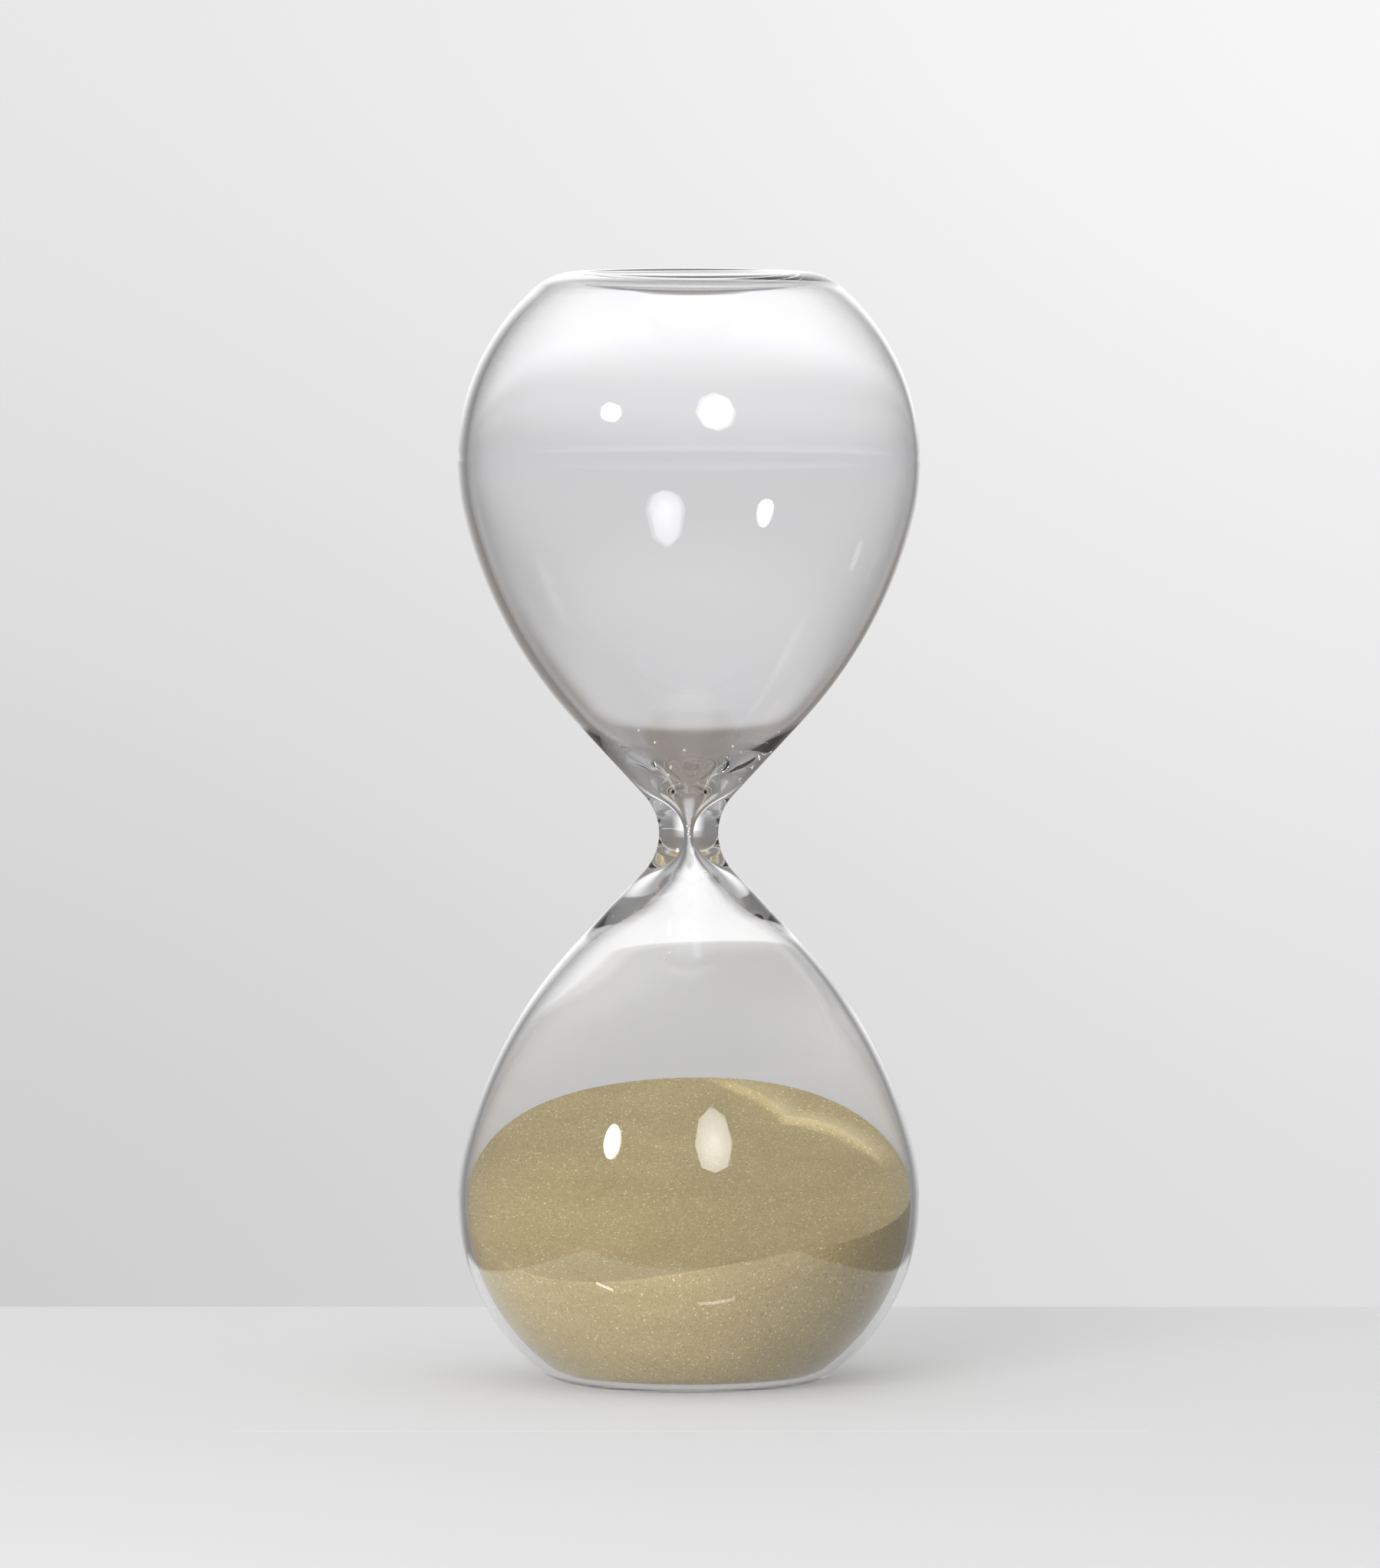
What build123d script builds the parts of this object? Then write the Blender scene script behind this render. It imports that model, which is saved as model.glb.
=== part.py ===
from build123d import *
from math import acos, asin, atan2, cos, degrees, hypot, radians, sin, sqrt, tan
from types import SimpleNamespace
import os

# A frameless hourglass of blown glass, standing on the dished end of its lower bulb.
# Z is the upright axis, the origin is the middle of the standing ring, and -Y is the front.
# Lengths are millimetres and angles are degrees.

# The two blown bulbs, each measured from its flat end to the waist of the neck
lower_height = 123.8
upper_height = 126.2
lower_belly_height = 41.0
upper_belly_height = 42.5
belly_radius = 52.0
wall = 1.6
end_thickening = 0.2
handover_angle = 14.0
flank_lean = 11.2

# The dished ends
foot_radius = 30.0
foot_round = 15.0
dish_radius = 23.2
dish_depth = 3.0
dish_round = 1.5
end_wall = 1.8
floor_round = 12.0

# The thick neck and the funnels inside it
waist_radius = 6.7
waist_arc = 12.5
throat_radius = 0.7
throat_arc = 14.0
funnel_lean = 10.0
funnel_blend = 70.0
# The most of the straight stretch beside a funnel's mouth that its blend may take up
blend_share = 0.9

# The filling hole and its silicone plug
fill_hole_radius = 4.5
plug_fit = 0.1
plug_head_radius = 7.0
plug_head_height = 1.5
plug_head_round = 0.5
plug_seat_margin = 0.3
plug_reach = 0.8

# The loose sand, whose top is a slope with low swells that grow towards the glass.
# Headings turn from +Y towards +X: the uphill way of the slope, and a crest of each swell.
sand_clearance = 0.3
sand_level = 46.4
sand_slope = 22.0
sand_heading = 6.0
swell_reach = 48.0
two_crest_swell = 2.4
two_crest_heading = -26.5
three_crest_swell = 1.7
three_crest_heading = 48.5

# Single grains: a short run in the throat, and strays on the glass beside the neck
grain_radius = 0.32
throat_grain_count = 6
throat_grain_pitch = 0.7
throat_grain_drop = 0.8
throat_grain_clearance = 0.08
golden_angle = 137.5
cling_gap = 0.04
# Each stray: distance from the waist plane as a share of the reach, and bearing from the front towards +X
stray_reach = 25.0
upper_strays = [(0.988, -30), (0.876, -23), (0.804, -4), (0.832, 30), (0.64, -19), (0.904, 76),
                (0.624, 84), (0.536, 98), (0.42, -92), (0.492, 31), (0.544, 38)]
lower_strays = [(1.064, -13), (0.38, 40), (0.48, -75)]

height = lower_height + upper_height
dish_sphere = (dish_radius**2 + dish_depth**2) / (2 * dish_depth)


def heading(angle):
    """The unit vector at an angle."""
    return Vector(cos(radians(angle)), sin(radians(angle)))


def bulb_line(bulb_height, belly_height, inset, thickening=0):
    """The bulb's line from its end to the waist, moved inwards by inset: two arcs, a flank and a neck arc.

    Thickening moves the end arc further in, from nothing where it hands over to the flank.
    """
    reach = belly_radius - foot_radius
    end_arc = (reach**2 + belly_height**2) / (2 * reach)
    end_centre = Vector(belly_radius - end_arc, belly_height)
    handover = heading(handover_angle)
    leaving = end_centre + handover * end_arc
    chord = degrees(atan2(leaving.X - waist_radius, bulb_height - leaving.Y))
    flank_angle = chord + flank_lean
    flank_normal = heading(flank_angle)
    waist_centre = Vector(waist_radius + waist_arc, bulb_height)
    turn = cos(radians(flank_angle - handover_angle))
    across = flank_normal.dot(waist_centre - end_centre)
    flank_arc = (across - end_arc * turn - waist_arc) / (1 - turn)
    flank_centre = end_centre + handover * (end_arc - flank_arc)
    return SimpleNamespace(
        bulb_height=bulb_height,
        end_centre=end_centre + handover * thickening,
        end_arc=end_arc - inset - thickening,
        flank_angle=flank_angle,
        flank_centre=flank_centre,
        flank_arc=flank_arc - inset,
        flank_start=flank_centre + flank_normal * (flank_arc - inset),
        flank_end=waist_centre - flank_normal * (waist_arc + inset),
        waist_centre=waist_centre,
        waist_arc=waist_arc + inset,
        waist=Vector(waist_radius - inset, bulb_height),
    )


def bulb_face(line, floor):
    """The half section inside a bulb line, closed by the dish, a flat ring at floor and the axis."""
    drop = line.end_centre.Y - floor
    rim = Vector(line.end_centre.X + sqrt(line.end_arc**2 - drop**2), floor)
    rim_angle = -degrees(asin(drop / line.end_arc))
    dish_centre = (0, dish_depth - dish_sphere)
    dish_arc = dish_sphere + floor
    dish_span = degrees(acos((dish_arc - dish_depth) / dish_arc))
    dish_rim = Vector(dish_arc * sin(radians(dish_span)), floor)
    edges = [
        CenterArc(dish_centre, dish_arc, 90, -dish_span),
        Line(dish_rim, rim),
        CenterArc(line.end_centre, line.end_arc, rim_angle, handover_angle - rim_angle),
        CenterArc(line.flank_centre, line.flank_arc, handover_angle, line.flank_angle - handover_angle),
        Line(line.flank_start, line.flank_end),
        CenterArc(line.waist_centre, line.waist_arc, 180 + line.flank_angle, -line.flank_angle),
        Polyline(line.waist, (0, line.bulb_height), (0, dish_depth + floor)),
    ]
    return make_face(edges), rim, dish_rim


def corner(face, place):
    """The corner of a half section that lies nearest to a place."""
    return face.vertices().sort_by_distance(place)[0]


def funnel_face(line):
    """The half section inside the funnel: a round throat that opens into a cone wider than the bulb."""
    lean = line.flank_angle + funnel_lean
    mouth_radius = 2 * belly_radius
    centre = (throat_radius + throat_arc, line.bulb_height)
    throat = CenterArc(centre, throat_arc, 180, lean)
    mouth = throat @ 1 + Vector(sin(radians(lean)), -cos(radians(lean))) * mouth_radius
    below = -mouth_radius
    sides = Polyline(throat @ 1, mouth, (mouth.X, below), (0, below), (0, line.bulb_height), throat @ 0)
    return make_face([throat, sides])


def foot_limit(line):
    """The round that would take up the whole flat ring between a bulb line and the dish's own round."""
    across = dish_radius + dish_round - line.end_centre.X
    drop = line.end_centre.Y
    return (line.end_arc**2 - drop**2 - across**2) / (2 * (line.end_arc - drop))


def bulb_cavity(bulb_height, belly_height):
    """The half section of the room inside one bulb, which narrows to the throat at bulb_height."""
    line = bulb_line(bulb_height, belly_height, wall, end_thickening)
    hollow, floor_rim, _ = bulb_face(line, end_wall)
    hollow = fillet(corner(hollow, floor_rim), floor_round)
    cavity = hollow & funnel_face(line)
    mouth = cavity.vertices().sort_by(Axis.Y)[-4]
    stretch = min(edge.length for edge in cavity.edges().sort_by_distance(mouth)[:2])
    return fillet(mouth, min(funnel_blend, blend_share * stretch / tan(radians(funnel_lean / 2))))


def bulb_glass(bulb_height, belly_height):
    """The half section of one bulb's glass, with its end at zero and its waist at bulb_height."""
    line = bulb_line(bulb_height, belly_height, 0)
    outer, rim, dish_rim = bulb_face(line, 0)
    outer = fillet(corner(outer, rim), min(foot_round, foot_limit(line)))
    outer = fillet(corner(outer, dish_rim), dish_round)
    return outer - bulb_cavity(bulb_height, belly_height)


def turned(face):
    """A half section turned about the upright axis."""
    return revolve(Plane.XZ * face, Axis.Z)


def upper_bulb():
    glass = turned(bulb_glass(upper_height, upper_belly_height))
    return Pos(0, 0, height) * mirror(glass, about=Plane.XY)


def lower_bulb():
    at_axis = (Align.MIN, Align.MIN)
    hole = Rectangle(fill_hole_radius, dish_depth + 2 * end_wall, align=at_axis)
    seat = Rectangle(plug_head_radius + plug_seat_margin, dish_depth, align=at_axis)
    return turned(bulb_glass(lower_height, lower_belly_height) - hole - seat)


def fill_plug():
    """A silicone stopper: a shank through the hole, and a head that seats on a flat ground round it."""
    shank_radius = fill_hole_radius - plug_fit
    top = dish_depth + end_wall + plug_reach
    bottom = dish_depth - plug_head_height
    outline = Polyline(
        (0, bottom),
        (plug_head_radius, bottom),
        (plug_head_radius, dish_depth),
        (shank_radius, dish_depth),
        (shank_radius, top),
        (0, top),
        close=True,
    )
    face = make_face(outline)
    face = fillet(corner(face, (plug_head_radius, bottom)), plug_head_round)
    face = fillet(corner(face, (shank_radius, top)), plug_head_round)
    return turned(face)


def slope_height(x, y):
    """Height of the sand's free surface at a place."""
    radius = hypot(x, y)
    bearing = degrees(atan2(x, y))
    uphill = radius * cos(radians(bearing - sand_heading))
    share = radius / swell_reach
    two_crests = two_crest_swell * share**2 * cos(radians(2 * (bearing - two_crest_heading)))
    three_crests = three_crest_swell * share**3 * cos(radians(3 * (bearing - three_crest_heading)))
    return sand_level + uphill * tan(radians(sand_slope)) + two_crests + three_crests


def sand_charge():
    """The sand that fills the lower bulb up to its sloping free surface."""
    inset = wall + sand_clearance
    line = bulb_line(lower_height, lower_belly_height, inset, end_thickening)
    heap, floor_rim, _ = bulb_face(line, end_wall + sand_clearance)
    heap = fillet(corner(heap, floor_rim), floor_round)
    plug_room = fill_hole_radius + sand_clearance
    plug_top = dish_depth + end_wall + plug_reach + sand_clearance
    heap -= Rectangle(plug_room, plug_top, align=(Align.MIN, Align.MIN))

    steps = [belly_radius * share / 5 for share in range(-6, 7)]
    places = [[Vector(x, y, slope_height(x, y)) for y in steps] for x in steps]
    surface = Face.make_surface_from_array_of_points(places)
    above_slope = extrude(surface, 2 * belly_radius, dir=(0, 0, 1))
    return turned(heap) - above_slope


def throat_grains():
    """A short run of grains down the middle of the throat, winding about the axis."""
    off_axis = throat_radius - grain_radius - throat_grain_clearance
    grains = []
    for index in range(throat_grain_count):
        bearing = radians(index * golden_angle)
        place_z = lower_height - throat_grain_drop + index * throat_grain_pitch
        grains.append(Pos(off_axis * cos(bearing), off_axis * sin(bearing), place_z) * Sphere(grain_radius))
    return Compound(children=grains)


def stray_grain(cavity, bulb_height, share, bearing, up):
    """One grain that all but touches the inside of the glass, up or down from the waist."""
    from_waist = share * stray_reach
    level = bulb_height - from_waist
    across = Line((0, level), (belly_radius, level)) & cavity
    touch = across.vertices().sort_by(Axis.X)[-1]
    along = cavity.edges().sort_by_distance(touch)[0].tangent_at(Vector(touch))
    clear = grain_radius + cling_gap
    radius = touch.X - clear * abs(along.Y)
    place_x = radius * sin(radians(bearing))
    place_y = -radius * cos(radians(bearing))
    place_z = lower_height + up * (from_waist + clear * abs(along.X))
    return Pos(place_x, place_y, place_z) * Sphere(grain_radius)


def clinging_grains():
    upper_cavity = bulb_cavity(upper_height, upper_belly_height)
    lower_cavity = bulb_cavity(lower_height, lower_belly_height)
    grains = [stray_grain(upper_cavity, upper_height, share, bearing, 1) for share, bearing in upper_strays]
    grains += [stray_grain(lower_cavity, lower_height, share, bearing, -1) for share, bearing in lower_strays]
    return Compound(children=grains)


os.makedirs("parts", exist_ok=True)
for piece in (upper_bulb, lower_bulb, fill_plug, sand_charge, throat_grains, clinging_grains):
    export_step(piece(), f"parts/{piece.__name__}.step")
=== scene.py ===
# %% [markdown]
# A frameless hourglass is two blown bulbs, fused at a thick neck, and a charge of loose sand.
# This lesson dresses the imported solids: clear glass with a real inside and outside, sand with
# its sloping top, and the few grains that cling beside the neck.
# The solids stay where they are, and every new piece takes its place from them.

# %% Load the solids
from math import acos, asin, atan2, cos, degrees, pi, radians, sin, sqrt, tan
import random

import bpy
from mathutils import Euler, Matrix, Vector


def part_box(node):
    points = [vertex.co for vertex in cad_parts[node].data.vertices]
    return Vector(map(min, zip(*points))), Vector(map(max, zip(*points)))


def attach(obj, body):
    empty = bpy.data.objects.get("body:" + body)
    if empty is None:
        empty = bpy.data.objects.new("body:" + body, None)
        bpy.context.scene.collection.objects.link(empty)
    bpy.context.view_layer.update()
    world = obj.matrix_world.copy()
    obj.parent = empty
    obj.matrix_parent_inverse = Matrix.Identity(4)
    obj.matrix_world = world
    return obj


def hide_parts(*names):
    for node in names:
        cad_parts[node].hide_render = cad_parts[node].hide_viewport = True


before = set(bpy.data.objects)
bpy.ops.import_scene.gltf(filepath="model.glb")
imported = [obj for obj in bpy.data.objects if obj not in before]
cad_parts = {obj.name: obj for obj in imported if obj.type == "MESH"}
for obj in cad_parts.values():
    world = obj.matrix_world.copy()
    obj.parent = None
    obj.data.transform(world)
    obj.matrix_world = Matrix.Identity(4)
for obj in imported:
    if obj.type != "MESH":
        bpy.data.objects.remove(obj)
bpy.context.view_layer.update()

MM = 0.001

# %% [markdown]
# Operators act on whatever is selected, as the mouse does. These small helpers clear the
# selection, swap into edit mode and back, and apply what was set on a piece, so that each later
# cell reads like the steps of a hand. One more turns a written colour into the linear values
# that a shader works in, and the last adds a shader node with its settings and links.

# %% Helpers for the hand and for the shader


def clear_selection():
    bpy.ops.object.select_all(action="DESELECT")


def edit(piece):
    """Opens one piece in edit mode with all of it selected."""
    clear_selection()
    piece.select_set(True)
    bpy.context.view_layer.objects.active = piece
    bpy.ops.object.mode_set(mode="EDIT")
    bpy.ops.mesh.select_all(action="SELECT")


def leave_edit():
    bpy.ops.object.mode_set(mode="OBJECT")


def apply_modifiers(piece):
    clear_selection()
    piece.select_set(True)
    bpy.context.view_layer.objects.active = piece
    for modifier in list(piece.modifiers):
        bpy.ops.object.modifier_apply(modifier=modifier.name)


def linear(hex_colour):
    """A written sRGB colour as linear red, green, blue and alpha."""
    parts = [int(hex_colour[i:i + 2], 16) / 255 for i in (1, 3, 5)]
    return [c / 12.92 if c <= 0.04045 else ((c + 0.055) / 1.055) ** 2.4 for c in parts] + [1.0]


def add_node(tree, kind, inputs=None, **settings):
    """Adds a node: settings are its own properties, inputs are values or sockets to link from."""
    made = tree.nodes.new(kind)
    for name, value in settings.items():
        setattr(made, name, value)
    for socket, value in (inputs or {}).items():
        if isinstance(value, bpy.types.NodeSocket):
            tree.links.new(value, made.inputs[socket])
        else:
            made.inputs[socket].default_value = value
    return made


# %% [markdown]
# The camera comes first, because everything is judged through it. The picture was taken from
# about three metres with a long lens: the top ring is seen from just above, and the base from
# a little higher. Its lens follows from how many pixels of the picture a metre covers there.
# Light runs many times to and fro in the thick neck, so its rays are allowed many bounces.

# %% Camera
PICTURE_HEIGHT_PX = 2044
PIXELS_PER_METRE = 5794
CAMERA_ASIDE = 0.0003
CAMERA_DISTANCE = 3.0
CAMERA_HEIGHT = 0.335
CAMERA_PITCH = radians(3.818)
SENSOR_MM = 36
MIDDLE_HEIGHT = 0.125

view_depth = CAMERA_DISTANCE * cos(CAMERA_PITCH) + (CAMERA_HEIGHT - MIDDLE_HEIGHT) * sin(CAMERA_PITCH)
clear_selection()
bpy.ops.object.camera_add(location=(CAMERA_ASIDE, -CAMERA_DISTANCE, CAMERA_HEIGHT),
                          rotation=(pi / 2 - CAMERA_PITCH, 0, 0))
camera = bpy.context.object
camera.data.sensor_fit = "VERTICAL"
camera.data.sensor_height = SENSOR_MM
camera.data.lens = PIXELS_PER_METRE * view_depth / PICTURE_HEIGHT_PX * SENSOR_MM
bpy.context.scene.camera = camera
bpy.context.scene.view_settings.view_transform = "Standard"
bpy.context.scene.cycles.max_bounces = 32
bpy.context.scene.cycles.glossy_bounces = 20
bpy.context.scene.cycles.transmission_bounces = 24
print("lens mm:", round(camera.data.lens, 1))

# %% [markdown]
# The set is a pale table top with a straight back edge and, beyond it, a plain pale backdrop.
# The laminate glows a little to the eye and in the glass, as a well-lit white set does, which
# keeps the shadow on it faint and soft.

# %% Material: matt white laminate
TABLE_GLOW = 0.76
TABLE_GLOW_SHARE = 0.3

table_paint = bpy.data.materials.new("matt_white_laminate")
table_paint.use_nodes = True
table_tree = table_paint.node_tree
table_shader = table_tree.nodes["Principled BSDF"]
table_shader.inputs["Base Color"].default_value = linear("#EEEEEE")
table_shader.inputs["Roughness"].default_value = 0.8


def seen_rays(tree):
    """One for a ray from the eye, a mirror or glass, and nought for light that bounces about."""
    path = add_node(tree, "ShaderNodeLightPath").outputs
    eye_or_mirror = add_node(tree, "ShaderNodeMath", {0: path["Is Camera Ray"], 1: path["Is Glossy Ray"]},
                             operation="ADD")
    return add_node(tree, "ShaderNodeMath", {0: eye_or_mirror.outputs[0], 1: path["Is Transmission Ray"]},
                    operation="ADD", use_clamp=True).outputs[0]


table_share = add_node(table_tree, "ShaderNodeMath", {0: seen_rays(table_tree), 1: TABLE_GLOW_SHARE},
                       operation="MULTIPLY")
table_glow = add_node(table_tree, "ShaderNodeEmission", {"Strength": TABLE_GLOW})
table_mix = add_node(table_tree, "ShaderNodeMixShader",
                     {0: table_share.outputs[0], 1: table_shader.outputs[0], 2: table_glow.outputs[0]})
table_tree.links.new(table_mix.outputs[0], table_tree.nodes["Material Output"].inputs["Surface"])
print("table material:", table_paint.name)

# %% [markdown]
# The real glass stood close to the front edge of a narrow plinth: its mirror image ends in a
# line low on the sand. So the table around the plinth is left out of what the glass mirrors,
# and shows only straight through it: its paint lets through each ray that was mirrored before.

# %% Table top
TABLE_BACK = 0.157
TABLE_FRONT = -1.5
TABLE_HALF_WIDTH = 1.2
TABLE_THICKNESS = 0.03
PLINTH_FRONT = -0.100
PLINTH_HALF_WIDTH = 0.10
APRON_DROP = 0.02 * MM

apron_paint = table_paint.copy()
apron_paint.name = "matt_white_laminate_apron"
apron_tree = apron_paint.node_tree
bounces = add_node(apron_tree, "ShaderNodeLightPath").outputs["Glossy Depth"]
mirrored = add_node(apron_tree, "ShaderNodeMath", {0: bounces, 1: 0.5}, operation="GREATER_THAN")
unseen = add_node(apron_tree, "ShaderNodeBsdfTransparent")
apron_surface = apron_tree.nodes["Material Output"].inputs["Surface"]
laminate = apron_surface.links[0].from_socket
apron_mix = add_node(apron_tree, "ShaderNodeMixShader",
                     {0: mirrored.outputs[0], 1: laminate, 2: unseen.outputs[0]})
apron_tree.links.new(apron_mix.outputs[0], apron_surface)


def table_slab(name, half_width, front, top, paint):
    """A slab from its front to the back edge of the table, with its top at a height."""
    middle = (0, (front + TABLE_BACK) / 2, top - TABLE_THICKNESS / 2)
    clear_selection()
    bpy.ops.mesh.primitive_cube_add(size=1, location=middle,
                                    scale=(2 * half_width, TABLE_BACK - front, TABLE_THICKNESS))
    slab = bpy.context.object
    slab.name = name
    bpy.ops.object.transform_apply(location=True, rotation=True, scale=True)
    slab.data.materials.append(paint)
    print(name, "size:", [round(length, 3) for length in slab.dimensions])


table_slab("plinth_top", PLINTH_HALF_WIDTH, PLINTH_FRONT, 0, table_paint)
table_slab("table_apron", TABLE_HALF_WIDTH, TABLE_FRONT, -APRON_DROP, apron_paint)

# %% [markdown]
# Glass shows only what is around it, so the backdrop is the world itself: a tall pale strip
# behind the glass, whiter above the picture's edge and darker below the table, with dim sides
# and a dim front. The dim sides are what draws dark lines along the edges of the glass.
# The bulbs bend level bands of light into arches, so the bands are arched the other way first.

# %% World: the bands of light behind the glass
ARCH_REACH = 0.10
ARCH_DROP = 0.014

world = bpy.data.worlds.new("pale_studio")
world.use_nodes = True
bpy.context.scene.world = world
air = world.node_tree
air.nodes.clear()
heading = add_node(air, "ShaderNodeSeparateXYZ",
                   {0: add_node(air, "ShaderNodeTexCoord").outputs["Generated"]})


def over(axis, start, end, low, high):
    """A smooth change of light level along one axis of the room."""
    return add_node(air, "ShaderNodeMapRange", {0: axis, 1: start, 2: end, 3: low, 4: high},
                    interpolation_type="SMOOTHSTEP").outputs[0]


def total(levels):
    """The sum of some light levels."""
    whole = levels[0]
    for level in levels[1:]:
        whole = add_node(air, "ShaderNodeMath", {0: whole, 1: level}, operation="ADD").outputs[0]
    return whole


sideways = add_node(air, "ShaderNodeMath", {0: heading.outputs["X"]}, operation="ABSOLUTE").outputs[0]
arched = total([heading.outputs["Z"], over(sideways, 0.0, ARCH_REACH, 0.0, -ARCH_DROP)])
below = over(heading.outputs["Z"], -0.19, -0.10, -0.35, 0.0)
above = over(heading.outputs["Z"], 0.25, 0.60, 0.0, -0.80)
eye_level = total([
    over(heading.outputs["Z"], -0.115, 0.0, 0.68, 0.87),
    over(heading.outputs["X"], -0.07, 0.07, -0.07, 0.07),
])
glass_level = total([
    over(heading.outputs["Z"], -0.085, -0.05, 0.66, 0.79),
    over(arched, -0.045, -0.030, 0.0, 0.15),
    over(arched, -0.028, -0.008, 0.0, 0.31),
    below,
    above,
])
print("world:", world.name)

# %% [markdown]
# The bands fill only a strip behind the glass, and the rest of the room is dimmer. The wall that
# the eye sees is a little greyer than what the bulbs show of the room, so the eye and the glass
# each have their own levels. Only the eye, mirrors and glass see that room. All else is lit by a
# plain even dome, which keeps the shadows soft.

# %% World: the room around the bands, and what each ray sees
DOME_LEVEL = 0.56

facing = over(heading.outputs["Y"], 0.0, 0.3, 0.0, 1.0)
strip = add_node(air, "ShaderNodeMath", {0: over(sideways, 0.10, 0.42, 1.0, 0.0), 1: facing},
                 operation="MULTIPLY").outputs[0]
eye_ray = add_node(air, "ShaderNodeLightPath").outputs["Is Camera Ray"]
strip_level = add_node(air, "ShaderNodeMix", {0: eye_ray, 2: glass_level, 3: eye_level}).outputs[0]
room_level = total([
    over(heading.outputs["Y"], -0.6, 0.4, 0.16, 0.26),
    over(heading.outputs["Z"], -0.75, -0.45, 0.6, 0.0),
    over(heading.outputs["Z"], 0.1, 0.8, 0.0, 0.28),
    over(heading.outputs["Z"], 0.95, 0.985, 0.0, 0.8),
])
seen_level = add_node(air, "ShaderNodeMix", {0: strip, 2: room_level, 3: strip_level}).outputs[0]
level = add_node(air, "ShaderNodeMix", {0: seen_rays(air), 2: DOME_LEVEL, 3: seen_level}).outputs[0]
whiteness = over(heading.outputs["Z"], -0.17, -0.115, 0.0, 1.0)
tone = add_node(air, "ShaderNodeMix", {0: whiteness, 6: linear("#FBF3EC"), 7: linear("#FFFFFF")},
                data_type="RGBA").outputs[2]
sky = add_node(air, "ShaderNodeBackground", {"Color": tone, "Strength": level})
add_node(air, "ShaderNodeOutputWorld", {"Surface": sky.outputs[0]})
print("world nodes:", len(air.nodes))

# %% [markdown]
# Two lamps stand on the camera's side. Their mirror images on the upper bulb, a large octagon
# and a small round spot, tell where they are: a glass ball mirrors a lamp halfway between the
# eye and the lamp. A lamp's shape shows in glass, so each is a glowing sheet of its own shape,
# seen in the glass alone. Two large soft lamps, overhead and by the camera, light the table and
# the sand, and are kept out of the glass.

# %% Lamps
LAMP_DISTANCE = 4.0
SOFT_LAMP_AIM = Vector((0, 0, 0.05))


def lamp_sheet(name, corners, direction, width_degrees, glow, edge_glow):
    """A flat lamp with some number of corners that faces the glass and is hottest in its middle."""
    middle = Vector((0, 0, MIDDLE_HEIGHT))
    aim = Vector(direction).normalized()
    radius = LAMP_DISTANCE * tan(radians(width_degrees / 2))
    clear_selection()
    bpy.ops.mesh.primitive_circle_add(vertices=corners, radius=radius, fill_type="NGON")
    sheet = bpy.context.object
    sheet.name = name
    sheet.rotation_euler = aim.to_track_quat("Z", "Y").to_euler()
    sheet.location = middle + aim * LAMP_DISTANCE
    sheet.visible_camera = False
    sheet.visible_diffuse = False
    paint = bpy.data.materials.new(name + "_glow")
    paint.use_nodes = True
    tree = paint.node_tree
    tree.nodes.clear()
    place = add_node(tree, "ShaderNodeTexCoord").outputs["Object"]
    off_middle = add_node(tree, "ShaderNodeVectorMath", {0: place}, operation="LENGTH").outputs["Value"]
    heat = add_node(tree, "ShaderNodeMapRange",
                    {0: off_middle, 1: 0.0, 2: radius, 3: glow, 4: edge_glow})
    glowing = add_node(tree, "ShaderNodeEmission", {"Strength": heat.outputs[0]})
    add_node(tree, "ShaderNodeOutputMaterial", {"Surface": glowing.outputs[0]})
    sheet.data.materials.append(paint)
    print(name, "radius:", round(radius, 3))


lamp_sheet("octagon_softbox", 8, (0.215, -0.86, 0.465), 18.7, 7.5, 4.0)
lamp_sheet("round_spot", 32, (-0.615, -0.655, 0.428), 8.5, 30.0, 20.0)


def soft_lamp(name, place, width, power):
    """A large soft lamp, aimed at the sand, that no mirror shows."""
    clear_selection()
    bpy.ops.object.light_add(type="AREA", location=place)
    lamp = bpy.context.object
    lamp.name = name
    lamp.rotation_euler = (Vector(place) - SOFT_LAMP_AIM).to_track_quat("Z", "Y").to_euler()
    lamp.data.size = width
    lamp.data.energy = power
    lamp.visible_glossy = False
    lamp.visible_transmission = False
    print(name, "watts:", power)


soft_lamp("ceiling_softbox", (0, -0.1, 1.5), 1.6, 3.0)
soft_lamp("front_softbox", (-0.9, -1.75, 0.38), 1.2, 48.0)

# %% [markdown]
# Two short streaks of light lie low on the front of the lower bulb. Traced back from the eye, they
# fall on one straight line on the table, a little in front of the glass, where they mirror the
# two lamps once more. So a polished edge ran there. It is left out of the picture itself, where
# nothing of it shows, and is seen in the glass alone.

# %% The polished edge in front of the glass
EDGE_FRONT = -0.0665
EDGE_WIDTH = 2.4 * MM
EDGE_LEVEL = 0.3 * MM
EDGE_TILT = radians(8.6)

clear_selection()
bpy.ops.mesh.primitive_plane_add(size=1, location=(0, EDGE_FRONT, EDGE_LEVEL), rotation=(EDGE_TILT, 0, 0))
polished_edge = bpy.context.object
polished_edge.name = "polished_edge"
polished_edge.scale = (2 * PLINTH_HALF_WIDTH, EDGE_WIDTH, 1)
bpy.ops.object.transform_apply(location=True, rotation=True, scale=True)
edge_paint = bpy.data.materials.new("polished_steel_edge")
edge_paint.use_nodes = True
for socket, value in (("Base Color", linear("#FFFFFF")), ("Metallic", 1.0), ("Roughness", 0.03)):
    edge_paint.node_tree.nodes["Principled BSDF"].inputs[socket].default_value = value
polished_edge.data.materials.append(edge_paint)
polished_edge.visible_camera = False
polished_edge.visible_diffuse = False
polished_edge.visible_shadow = False
polished_edge.visible_transmission = False
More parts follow.
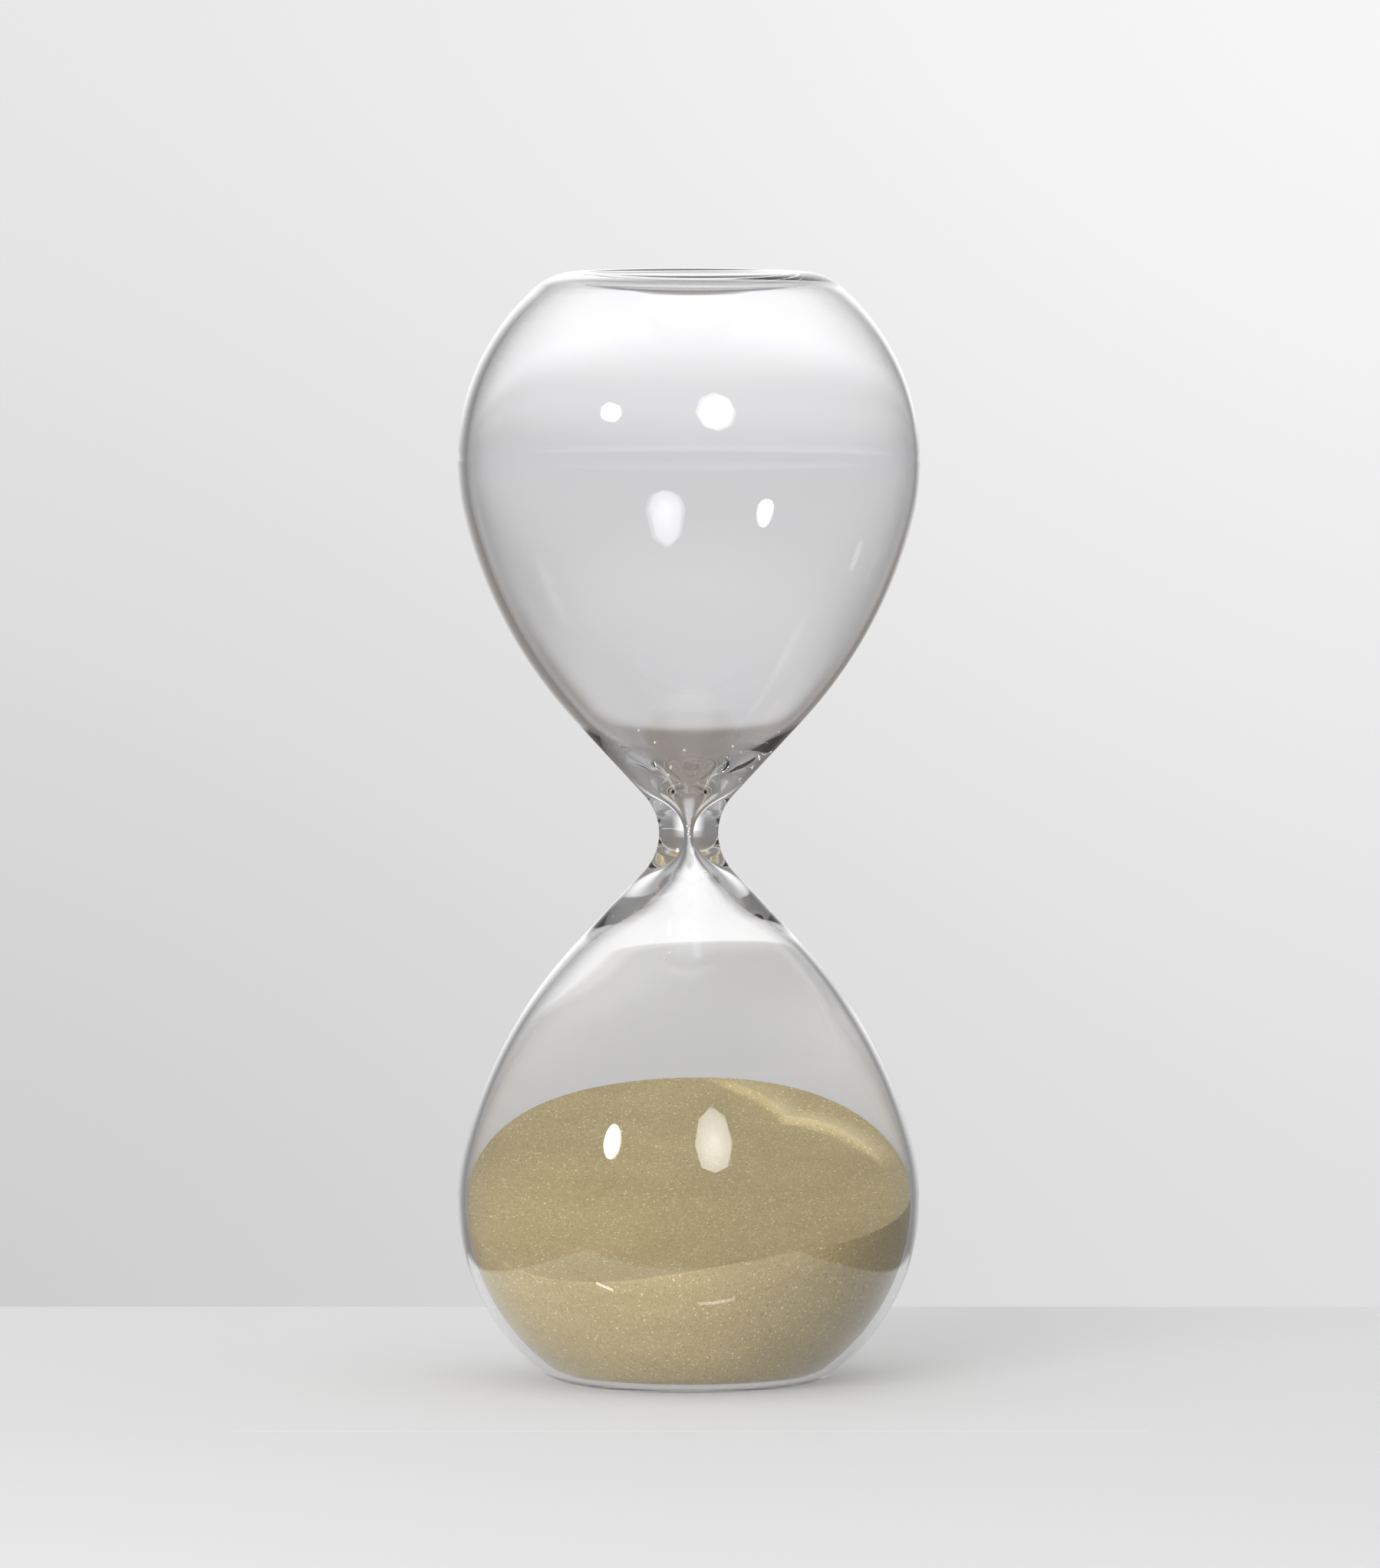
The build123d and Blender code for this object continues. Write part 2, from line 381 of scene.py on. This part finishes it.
print("polished edge:", [round(length, 4) for length in polished_edge.dimensions])

# %% [markdown]
# A bulb is turned, so its whole shape is one line: an arc over the end, a longer arc down the
# flank, a straight stretch, and a small hollow arc into the waist. The inside has the same line
# moved in by the wall, until a funnel cuts across it and leaves thick glass round the throat.

# %% The bulbs' sizes
upper_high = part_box("upper_bulb")[1]
lower_low, lower_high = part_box("lower_bulb")
TOP = upper_high[2]
WAIST_LEVEL = lower_high[2]
BELLY_RADIUS = upper_high[0]
LOWER_HEIGHT = WAIST_LEVEL - lower_low[2]
UPPER_HEIGHT = TOP - WAIST_LEVEL
LOWER_BELLY_HEIGHT = 41.0 * MM
UPPER_BELLY_HEIGHT = 42.5 * MM
WALL = 1.6 * MM
END_WALL = 1.8 * MM
END_THICKENING = 0.2 * MM
HANDOVER = radians(14)
FLANK_LEAN = radians(11.2)
FOOT_RADIUS = 30 * MM
FOOT_ROUND = 15 * MM
DISH_RADIUS = 23.2 * MM
DISH_DEPTH = 3 * MM
DISH_ROUND = 1.5 * MM
FLOOR_ROUND = 12 * MM
WAIST_RADIUS = 6.7 * MM
WAIST_ARC = 12.5 * MM
THROAT_RADIUS = 0.7 * MM
THROAT_ARC = 14 * MM
FUNNEL_LEAN = radians(10)
FUNNEL_BLEND = 70 * MM
MARK_DEPTH = 0.016 * MM
MARK_HALF = radians(0.6)
FILL_HOLE_RADIUS = 4.5 * MM
PLUG_SEAT_RADIUS = 7.3 * MM
dish_sphere = (DISH_RADIUS**2 + DISH_DEPTH**2) / (2 * DISH_DEPTH)
print("waist at", round(WAIST_LEVEL, 4), "belly", round(BELLY_RADIUS, 4))

# %% [markdown]
# The arcs meet without a corner, because each next centre lies on the line through the last one
# and the point where they meet. The flank's radius then follows from the waist: the straight
# stretch has to touch both. A few points on each arc are enough, as the skin is shaded smooth.

# %% The line of a bulb


def along(angle):
    """The unit vector at an angle."""
    return Vector((cos(angle), sin(angle)))


def arc(centre, radius, start, end, count):
    """Points on an arc, from start to end, both included."""
    return [centre + along(start + (end - start) * i / count) * radius for i in range(count + 1)]


def straight(start, end, count):
    """Points on a straight stretch, both ends included."""
    return [start.lerp(end, i / count) for i in range(count + 1)]


def eased(before, corner, after, count):
    """A rounded corner: a curve from before to after that heads for the corner first."""
    curve = []
    for i in range(count + 1):
        t = i / count
        curve.append(before * (1 - t) ** 2 + corner * 2 * t * (1 - t) + after * t**2)
    return curve


def bulb_arcs(bulb_height, belly_height, inset, thickening):
    """Centres, radii and ends of a bulb's arcs, measured up from its end, moved inwards by inset.

    The end arc moves in further, by nothing where it meets the flank and by more towards the end.
    """
    reach = BELLY_RADIUS - FOOT_RADIUS
    end_arc = (reach**2 + belly_height**2) / (2 * reach)
    end_centre = Vector((BELLY_RADIUS - end_arc, belly_height))
    leaving = end_centre + along(HANDOVER) * end_arc
    lean = atan2(leaving.x - WAIST_RADIUS, bulb_height - leaving.y) + FLANK_LEAN
    waist_centre = Vector((WAIST_RADIUS + WAIST_ARC, bulb_height))
    turn = cos(lean - HANDOVER)
    flank_arc = (along(lean).dot(waist_centre - end_centre) - end_arc * turn - WAIST_ARC) / (1 - turn)
    flank_centre = end_centre + along(HANDOVER) * (end_arc - flank_arc)
    return {
        "end": (end_centre + along(HANDOVER) * thickening, end_arc - inset - thickening),
        "flank": (flank_centre, flank_arc - inset),
        "waist": (waist_centre, WAIST_ARC + inset),
        "lean": lean,
        "flank_start": flank_centre + along(lean) * (flank_arc - inset),
        "flank_end": waist_centre - along(lean) * (WAIST_ARC + inset),
    }


def end_line(arcs, floor, rim_round, dish_round):
    """The dished end, from its middle out to the start of the end arc, and the angle of that start."""
    centre, radius = arcs["end"]
    dish_centre = Vector((0, DISH_DEPTH - dish_sphere))
    dish_radius = dish_sphere + floor
    span = acos((dish_radius - DISH_DEPTH) / dish_radius)
    dish_rim = dish_centre + along(pi / 2 - span) * dish_radius
    rim_angle = -asin((centre.y - floor) / radius)
    rim = centre + along(rim_angle) * radius
    rim_turn = (pi / 2 + rim_angle) / 2
    rim_cut = rim_round * tan(rim_turn)
    start_angle = rim_angle + rim_cut / radius
    dish_cut = dish_round * tan(span / 2)
    ring_start = dish_rim + Vector((dish_cut, 0))
    ring_end = rim - Vector((rim_cut, 0))
    points = arc(dish_centre, dish_radius, pi / 2, pi / 2 - span + dish_cut / dish_radius, 12)
    if dish_round:
        points += eased(points[-1], dish_rim, ring_start, 4)[1:]
    points += straight(ring_start, ring_end, 3)[1:]
    points += eased(ring_end, rim, centre + along(start_angle) * radius, 6)[1:]
    return points, start_angle


def outer_line(bulb_height, belly_height, mark_depth):
    """The outside, from the middle of the dish to the waist, with a tool's mark round the belly."""
    arcs = bulb_arcs(bulb_height, belly_height, 0, 0)
    points, start = end_line(arcs, 0, FOOT_ROUND, DISH_ROUND)
    points += arc(*arcs["end"], start, -MARK_HALF, 26)[1:]
    points.append(arcs["end"][0] + Vector((arcs["end"][1] - mark_depth, 0)))
    points += arc(*arcs["end"], MARK_HALF, HANDOVER, 7)
    points += arc(*arcs["flank"], HANDOVER, arcs["lean"], 26)[1:]
    points += straight(arcs["flank_start"], arcs["flank_end"], 8)[1:]
    points += arc(*arcs["waist"], pi + arcs["lean"], pi, 16)[1:]
    return points


def funnel_mouth(arcs, flare_end, lean):
    """Where the funnel's straight side, running out from its flare, meets the inside of the flank."""
    side = Vector((sin(lean), -cos(lean)))
    normal = along(arcs["lean"])
    return flare_end + side * ((arcs["flank_end"] - flare_end).dot(normal) / side.dot(normal))


def inner_line(bulb_height, belly_height):
    """The inside, from the middle of the dish to the throat."""
    arcs = bulb_arcs(bulb_height, belly_height, WALL, END_THICKENING)
    lean = arcs["lean"] + FUNNEL_LEAN
    throat_centre = Vector((THROAT_RADIUS + THROAT_ARC, bulb_height))
    flare_end = throat_centre - along(lean) * THROAT_ARC
    mouth = funnel_mouth(arcs, flare_end, lean)
    cut = FUNNEL_BLEND * tan(FUNNEL_LEAN / 2)
    before = mouth + (arcs["flank_start"] - mouth).normalized() * cut
    after = mouth + (flare_end - mouth).normalized() * cut
    points, start = end_line(arcs, END_WALL, FLOOR_ROUND, 0)
    points += arc(*arcs["end"], start, HANDOVER, 30)[1:]
    points += arc(*arcs["flank"], HANDOVER, arcs["lean"], 26)[1:]
    points += eased(before, mouth, after, 12)
    points += straight(after, flare_end, 8)[1:]
    points += arc(throat_centre, THROAT_ARC, pi + lean, pi, 28)[1:]
    return points


print("throat at", inner_line(LOWER_HEIGHT, LOWER_BELLY_HEIGHT)[-1])

# %% [markdown]
# The fused glass is one skin, so it is modelled as one: a single point is extruded along the
# whole line, down the outside, through the filling hole and back up the inside, and the line is
# spun about the axis. Two solids that only touch would mirror light at the seam, where the real
# glass is melted together.

# %% Glass: draw the line and spin it
SPIN_STEPS = 192
POLE_RADIUS = 0.004 * MM


def upended(line):
    """A bulb's line turned over, to hang down from the top."""
    return [Vector((p.x, TOP - p.y)) for p in line]


upper_outside = upended(outer_line(UPPER_HEIGHT, UPPER_BELLY_HEIGHT, MARK_DEPTH))
lower_outside = outer_line(LOWER_HEIGHT, LOWER_BELLY_HEIGHT, 0)[::-1]
lower_inside = inner_line(LOWER_HEIGHT, LOWER_BELLY_HEIGHT)
upper_inside = upended(inner_line(UPPER_HEIGHT, UPPER_BELLY_HEIGHT))[::-1]
lower_outside = [p for p in lower_outside if p.x > PLUG_SEAT_RADIUS or p.y > DISH_DEPTH * 2]
lower_inside = [p for p in lower_inside if p.x > FILL_HOLE_RADIUS or p.y > DISH_DEPTH * 4]
seat_line = [
    Vector((PLUG_SEAT_RADIUS, DISH_DEPTH)),
    Vector((FILL_HOLE_RADIUS, DISH_DEPTH)),
    Vector((FILL_HOLE_RADIUS, lower_inside[0].y)),
]
outside = upper_outside + lower_outside[1:] + seat_line
inside = lower_inside + upper_inside[1:]


def extrude_line(name, line):
    """Extrudes one point along a line that lies in the plane of X and Z."""
    clear_selection()
    bpy.ops.mesh.primitive_plane_add(size=1)
    piece = bpy.context.object
    piece.name = name
    edit(piece)
    bpy.ops.mesh.merge(type="CENTER")
    bpy.ops.transform.translate(value=(line[0].x, 0, line[0].y))
    for here, there in zip(line, line[1:]):
        step = (there.x - here.x, 0, there.y - here.y)
        bpy.ops.mesh.extrude_region_move(TRANSFORM_OT_translate={"value": step})
    leave_edit()
    return piece


def spin(piece, steps):
    """Spins a line about the upright axis and closes the seam and the poles."""
    edit(piece)
    bpy.ops.mesh.spin(steps=steps, angle=2 * pi, center=(0, 0, 0), axis=(0, 0, 1))
    bpy.ops.mesh.select_all(action="SELECT")
    bpy.ops.mesh.remove_doubles(threshold=POLE_RADIUS)
    bpy.ops.mesh.normals_make_consistent(inside=False)
    leave_edit()
    for face in piece.data.polygons:
        face.use_smooth = True


glass = extrude_line("blown_glass", outside + inside)
inside_skin = glass.vertex_groups.new(name="inside_skin")
inside_skin.add(list(range(len(outside), len(outside) + len(inside))), 1.0, "REPLACE")
spin(glass, SPIN_STEPS)
print("glass line points:", len(outside) + len(inside), "faces:", len(glass.data.polygons))

# %% [markdown]
# Blown glass is never quite even. The hollow of this one has drifted a little to the right, so
# the left wall of the upper bulb and the left side of the neck's lower funnel are thicker. The
# points of the inside were gathered in a group before the spin, and now move sideways together.

# %% Glass: the drift of the hollow
UPPER_DRIFT = 0.45 * MM
UPPER_DRIFT_RISE = 30 * MM
FUNNEL_DRIFT = 0.55 * MM
FUNNEL_DRIFT_RISE = 12 * MM
FUNNEL_DRIFT_FADE = 24 * MM
FUNNEL_DRIFT_END = 42 * MM


def smooth(share):
    """Nothing below nought, all above one, and a soft S between them."""
    share = min(max(share, 0.0), 1.0)
    return share * share * (3 - 2 * share)


def drift_at(z):
    """How far the hollow has drifted to the right at a height."""
    over_waist = z - WAIST_LEVEL
    if over_waist > 0:
        return UPPER_DRIFT * smooth(over_waist / UPPER_DRIFT_RISE)
    fading = smooth((FUNNEL_DRIFT_END + over_waist) / FUNNEL_DRIFT_FADE)
    return FUNNEL_DRIFT * smooth(-over_waist / FUNNEL_DRIFT_RISE) * fading


drifted = 0
for vertex in glass.data.vertices:
    if any(member.group == inside_skin.index for member in vertex.groups):
        vertex.co.x += drift_at(vertex.co.z)
        drifted += 1
print("inside points:", drifted)

# %% [markdown]
# Clear soda-lime glass bends light by an index of 1.5 and has a fire-polished skin with no
# roughness at all. Lamps are let through it in straight lines, because the lamp's own rays
# can't be traced back through a bend, and the sand inside would go dark.

# %% Material: fire-polished soda-lime glass
GLASS_IOR = 1.5

glass_paint = bpy.data.materials.new("fire_polished_soda_lime_glass")
glass_paint.use_nodes = True
glass_tree = glass_paint.node_tree
glass_shader = glass_tree.nodes["Principled BSDF"]
for socket, value in (("Base Color", linear("#F8F8F9")), ("Roughness", 0.0), ("IOR", GLASS_IOR),
                      ("Transmission Weight", 1.0)):
    glass_shader.inputs[socket].default_value = value
lamp_way = add_node(glass_tree, "ShaderNodeBsdfTransparent", {"Color": linear("#FFFFFF")})
ray_kind = add_node(glass_tree, "ShaderNodeLightPath")
glass_mix = add_node(glass_tree, "ShaderNodeMixShader",
                     {0: ray_kind.outputs["Is Shadow Ray"], 1: glass_shader.outputs[0],
                      2: lamp_way.outputs[0]})
glass_tree.links.new(glass_mix.outputs[0], glass_tree.nodes["Material Output"].inputs["Surface"])
glass.data.materials.append(glass_paint)
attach(glass, "glass")
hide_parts("upper_bulb", "lower_bulb")
print("glass material:", glass_paint.name)

# %% [markdown]
# The sand fills the lower bulb to a slope. Its outside is the bulb's inner line once more, moved
# in by a hair, with a hollow for the filling plug. It is spun like the glass and filled too high
# at first, because its top is cut to the slope later.

# %% Sand: the bowl-shaped body
SAND_CLEARANCE = 0.3 * MM
SAND_TOP_LIMIT = 80 * MM
SAND_SPIN_STEPS = 160

sand_arcs = bulb_arcs(LOWER_HEIGHT, LOWER_BELLY_HEIGHT, WALL + SAND_CLEARANCE, END_THICKENING)
sand_line, sand_start = end_line(sand_arcs, END_WALL + SAND_CLEARANCE, FLOOR_ROUND, 0)
sand_line += arc(*sand_arcs["end"], sand_start, HANDOVER, 60)[1:]
sand_line += arc(*sand_arcs["flank"], HANDOVER, sand_arcs["lean"], 60)[1:]
plug_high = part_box("fill_plug")[1]
room_radius = FILL_HOLE_RADIUS + SAND_CLEARANCE
room_top = plug_high[2] + SAND_CLEARANCE
sand_line = [p for p in sand_line if p.x > room_radius and p.y < SAND_TOP_LIMIT]
sand_line = [Vector((0, room_top)), Vector((room_radius, room_top))] + sand_line
sand_line.append(Vector((0, SAND_TOP_LIMIT)))
sand = extrude_line("sand_heap", sand_line)
spin(sand, SAND_SPIN_STEPS)
print("sand line points:", len(sand_line))

# %% [markdown]
# The slope has two low swells that grow towards the glass. Along the back right, sand has slid
# away and left a ledge, whose crest gets a painted highlight: it is painted pale where the step catches
# the light.

# %% Sand: the shape of its sloping top
SAND_LEVEL = 46.4 * MM
SAND_SLOPE = tan(radians(22))
SAND_HEADING = 6
SWELL_REACH = 48 * MM
TWO_CRESTS = 2.4 * MM
TWO_CREST_HEADING = -26.5
THREE_CRESTS = 1.7 * MM
THREE_CREST_HEADING = 48.5
LEDGE_PEAK = 41
LEDGE_LEFT_SPAN = 42
LEDGE_RIGHT_SPAN = 55
LEDGE_REACH = SWELL_REACH - 2 * MM
LEDGE_WIDTH = 11.5 * MM
LEDGE_FIRM_WIDTH = 4 * MM
LEDGE_STEP = 1.6 * MM
LEDGE_EDGE = 1.5 * MM
LEDGE_FADE = 30 * MM
CREST_EDGE = 1.2 * MM
CREST_FADE = 6 * MM
CREST_BACK_SHARE = 0.35
CREST_BACK = 18
CREST_BACK_SPAN = 20


def ledge_width(bearing):
    """Width of the ledge that slid sand has left along the back right of the glass."""
    if bearing < LEDGE_PEAK:
        return LEDGE_WIDTH * max(0.0, 1 - (LEDGE_PEAK - bearing) / LEDGE_LEFT_SPAN) ** 1.3
    return LEDGE_WIDTH * max(0.0, 1 - (bearing - LEDGE_PEAK) / LEDGE_RIGHT_SPAN) ** 1.6


def ledge_inward(x, y):
    """Distance inwards from the edge of the ledge."""
    return LEDGE_REACH - ledge_width(degrees(atan2(x, y))) - sqrt(x * x + y * y)


def slope_height(x, y):
    """Height of the sand's free surface; bearings turn from the back towards the right."""
    radius = sqrt(x * x + y * y)
    bearing = degrees(atan2(x, y))
    share = radius / SWELL_REACH
    height = SAND_LEVEL + radius * cos(radians(bearing - SAND_HEADING)) * SAND_SLOPE
    height += TWO_CRESTS * share**2 * cos(radians(2 * (bearing - TWO_CREST_HEADING)))
    height += THREE_CRESTS * share**3 * cos(radians(3 * (bearing - THREE_CREST_HEADING)))
    inward = ledge_inward(x, y)
    firm = smooth(ledge_width(bearing) / LEDGE_FIRM_WIDTH)
    return height - LEDGE_STEP * firm * smooth(inward / LEDGE_EDGE) * (1 - smooth(inward / LEDGE_FADE))


def crest_highlight_strength(x, y):
    """How strong the painted highlight on the crest of the ledge is: sharp inwards, fading to the glass
    and to the back.
    """
    inward = ledge_inward(x, y)
    bearing = degrees(atan2(x, y))
    sideward = smooth((bearing - CREST_BACK) / CREST_BACK_SPAN)
    firm = smooth(ledge_width(bearing) / LEDGE_FIRM_WIDTH)
    firm *= CREST_BACK_SHARE + (1 - CREST_BACK_SHARE) * sideward
    return firm * (1 - smooth(inward / CREST_EDGE)) * (1 - smooth(-inward / CREST_FADE))


print("slope from", round(slope_height(0, -SWELL_REACH), 4), "to", round(slope_height(0, SWELL_REACH), 4))

# %% [markdown]
# A rolling sheet does the cutting. It starts as a grid, is lifted to the slope, and is extruded
# upwards, so that a Boolean can take away all above it. A brush could shape the top by hand, but
# a formula gives the same slope each time.

# %% Sand: the cutting sheet
GRID_HALF = 56 * MM
GRID_CELLS = 220

clear_selection()
bpy.ops.mesh.primitive_grid_add(x_subdivisions=GRID_CELLS, y_subdivisions=GRID_CELLS,
                                size=2 * GRID_HALF)
cutter = bpy.context.object
cutter.name = "slope_cutter"
for vertex in cutter.data.vertices:
    vertex.co.z = slope_height(vertex.co.x, vertex.co.y)
edit(cutter)
bpy.ops.mesh.extrude_region_move(TRANSFORM_OT_translate={"value": (0, 0, 2 * GRID_HALF)})
bpy.ops.mesh.select_all(action="SELECT")
bpy.ops.mesh.normals_make_consistent(inside=False)
leave_edit()
print("cutter faces:", len(cutter.data.polygons))

# %% [markdown]
# Sand is crushed quartz and shell, each grain its own tint: most are olive-beige, some pale,
# a few dark, and here and there a flat face catches a lamp. The grain is drawn as cells of the
# size of a sieved grain, and each cell picks its own tint.

# %% Material: dry sieved sand
GRAIN_MM = 0.32
GRAIN_RELIEF_MM = 0.12
LAYER_MM = 26
LAYER_FLATNESS = 4.0

sand_paint = bpy.data.materials.new("dry_sieved_sand")
sand_paint.use_nodes = True
sand_tree = sand_paint.node_tree
sand_shader = sand_tree.nodes["Principled BSDF"]
sand_place = add_node(sand_tree, "ShaderNodeTexCoord").outputs["Object"]
cells = add_node(sand_tree, "ShaderNodeTexVoronoi",
                 {"Vector": sand_place, "Scale": 1 / (GRAIN_MM * MM)})
pick = add_node(sand_tree, "ShaderNodeSeparateColor", {0: cells.outputs["Color"]})
tint = add_node(sand_tree, "ShaderNodeValToRGB", {0: pick.outputs[0]})
stops = tint.color_ramp.elements
stops[0].position, stops[0].color = 0.0, linear("#8A7A54")
stops[1].position, stops[1].color = 1.0, linear("#EDE0BC")
for position, colour in ((0.03, "#AB9A6E"), (0.80, "#B6A67A"), (0.97, "#C2B288")):
    stops.new(position).color = linear(colour)
lying = add_node(sand_tree, "ShaderNodeMapping", {0: sand_place, 3: (1.0, 1.0, LAYER_FLATNESS)})
layers = add_node(sand_tree, "ShaderNodeTexNoise",
                  {"Vector": lying.outputs[0], "Scale": 1 / (LAYER_MM * MM), "Detail": 3.0,
                   "Roughness": 0.5})
shade = add_node(sand_tree, "ShaderNodeMapRange",
                 {0: layers.outputs[0], 1: 0.3, 2: 0.7, 3: 0.93, 4: 1.07})
# Painted highlight: the ledge's crest is mixed towards a pale colour, standing in for the light that the
# step catches.
crest = add_node(sand_tree, "ShaderNodeAttribute", attribute_name="painted_crest_highlight").outputs["Fac"]
crest_highlighted = add_node(sand_tree, "ShaderNodeMix", {0: crest, 6: tint.outputs[0], 7: linear("#E6D8AC")},
                 data_type="RGBA").outputs[2]
body = add_node(sand_tree, "ShaderNodeVectorMath",
                {0: crest_highlighted, "Scale": shade.outputs[0]}, operation="SCALE")
glint = add_node(sand_tree, "ShaderNodeMapRange",
                 {0: pick.outputs[1], 1: 0.95, 2: 0.98, 3: 0.9, 4: 0.3})
relief = add_node(sand_tree, "ShaderNodeBump", {"Height": cells.outputs["Distance"], "Strength": 0.5,
                                                "Distance": GRAIN_RELIEF_MM * MM}, invert=True)
for socket, source in (("Base Color", body.outputs[0]), ("Roughness", glint.outputs[0]),
                       ("Normal", relief.outputs[0])):
    sand_tree.links.new(source, sand_shader.inputs[socket])
sand.data.materials.append(sand_paint)
print("sand material:", sand_paint.name)

# %% [markdown]
# Now the sheet cuts the heap, and each point of the new top that lies on the ledge's crest is
# told how strong its painted highlight is. The paint reads that from the mesh.

# %% Sand: cut the heap to its slope
CREST_HIGHLIGHT_SHARE = 0.45
ON_SLOPE = 0.2 * MM

cut = sand.modifiers.new("slope", "BOOLEAN")
cut.operation = "DIFFERENCE"
cut.object = cutter
cut.solver = "EXACT"
apply_modifiers(sand)
bpy.data.objects.remove(cutter)

# Each point on the crest stores the strength of its painted highlight.
painted_crest_highlight = sand.data.attributes.new("painted_crest_highlight", "FLOAT", "POINT")
for vertex in sand.data.vertices:
    x, y, z = vertex.co
    if abs(z - slope_height(x, y)) < ON_SLOPE:
        painted_crest_highlight.data[vertex.index].value = CREST_HIGHLIGHT_SHARE * crest_highlight_strength(x, y)
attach(sand, "sand")
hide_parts("sand_charge")
print("sand faces:", len(sand.data.polygons))

# %% [markdown]
# A grain is modelled once: a coarse ball, roughened and flattened a little. The solids of a
# node are split into their loose parts to find where each grain sits, and every place gets a
# copy turned its own way. Single grains of clear quartz catch the lamps and glint, and that
# glint is painted into their colour, which is paler than the heap.

# %% Material: quartz grain with a painted glint
grain_paint = bpy.data.materials.new("quartz_grain_painted_glint")
grain_paint.use_nodes = True
grain_shader = grain_paint.node_tree.nodes["Principled BSDF"]
# Painted glint: the pale base colour stands in for the lamps' light that the single grains catch.
for socket, value in (("Base Color", linear("#F1E7D0")), ("Roughness", 0.25)):
    grain_shader.inputs[socket].default_value = value
print("grain material:", grain_paint.name)

# %% Grains
GRAIN_RADIUS = 0.28 * MM
GRAIN_STRETCH = (1.1, 0.95, 0.8, 1)
GRAIN_ROUGHNESS = 0.15
GRAIN_SEED = 7

chance = random.Random(GRAIN_SEED)


def grain_places(node):
    """The middle of each loose part of a node."""
    clear_selection()
    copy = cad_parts[node].copy()
    copy.data = copy.data.copy()
    bpy.context.collection.objects.link(copy)
    edit(copy)
    bpy.ops.mesh.remove_doubles(threshold=POLE_RADIUS)
    bpy.ops.mesh.separate(type="LOOSE")
    leave_edit()
    parts = list(bpy.context.selected_objects)
    places = []
    for part in parts:
        points = [vertex.co for vertex in part.data.vertices]
        places.append(sum(points, Vector()) / len(points))
        bpy.data.objects.remove(part)
    return sorted(places, key=lambda place: place.z)


def grain_cluster(name, node, body, radius, shift):
    """One piece made of a grain at each place, each moved to the right by the shift at its height."""
    clear_selection()
    copies = []
    for place in grain_places(node):
        place.x += shift(place.z)
        bpy.ops.mesh.primitive_ico_sphere_add(subdivisions=2, radius=radius)
        grain = bpy.context.object
        edit(grain)
        bpy.ops.transform.vertex_random(offset=GRAIN_ROUGHNESS * radius, uniform=1.0, normal=0.0,
                                        seed=chance.randrange(1000))
        leave_edit()
        turn = Euler([chance.uniform(0, 2 * pi) for _ in range(3)]).to_matrix().to_4x4()
        grain.data.transform(Matrix.Translation(place) @ turn @ Matrix.Diagonal(GRAIN_STRETCH))
        copies.append(grain)
    clear_selection()
    for grain in copies:
        grain.select_set(True)
    bpy.context.view_layer.objects.active = copies[0]
    bpy.ops.object.join()
    piece = bpy.context.object
    piece.name = name
    piece.data.materials.append(grain_paint)
    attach(piece, body)
    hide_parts(node)
    print(name, "grains:", len(copies))


grain_cluster("stray_grains", "clinging_grains", "glass", GRAIN_RADIUS, drift_at)
grain_cluster("last_grains", "throat_grains", "grains", GRAIN_RADIUS, lambda z: 0.0)

# %% [markdown]
# The filling plug is moulded silicone, milky and a little waxy. Its solid already has the right
# shape, so it only gets a finish.

# %% Material: moulded silicone
HAZE_MM = 1.2
MILK_DEPTH = 2 * MM

plug_paint = bpy.data.materials.new("moulded_silicone")
plug_paint.use_nodes = True
plug_tree = plug_paint.node_tree
plug_shader = plug_tree.nodes["Principled BSDF"]
plug_place = add_node(plug_tree, "ShaderNodeTexCoord").outputs["Object"]
haze = add_node(plug_tree, "ShaderNodeTexNoise",
                {"Vector": plug_place, "Scale": 1 / (HAZE_MM * MM), "Detail": 3.0})
milk = add_node(plug_tree, "ShaderNodeValToRGB", {0: haze.outputs[0]})
milk.color_ramp.elements[0].color = linear("#D5D4CE")
milk.color_ramp.elements[1].color = linear("#E4E3DE")
plug_tree.links.new(milk.outputs[0], plug_shader.inputs["Base Color"])
plug_shader.inputs["Roughness"].default_value = 0.45
plug_shader.inputs["Subsurface Weight"].default_value = 0.2
plug_shader.inputs["Subsurface Radius"].default_value = (MILK_DEPTH, MILK_DEPTH, MILK_DEPTH)
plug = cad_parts["fill_plug"]
plug.data.materials.clear()
plug.data.materials.append(plug_paint)
print("plug material:", plug_paint.name)
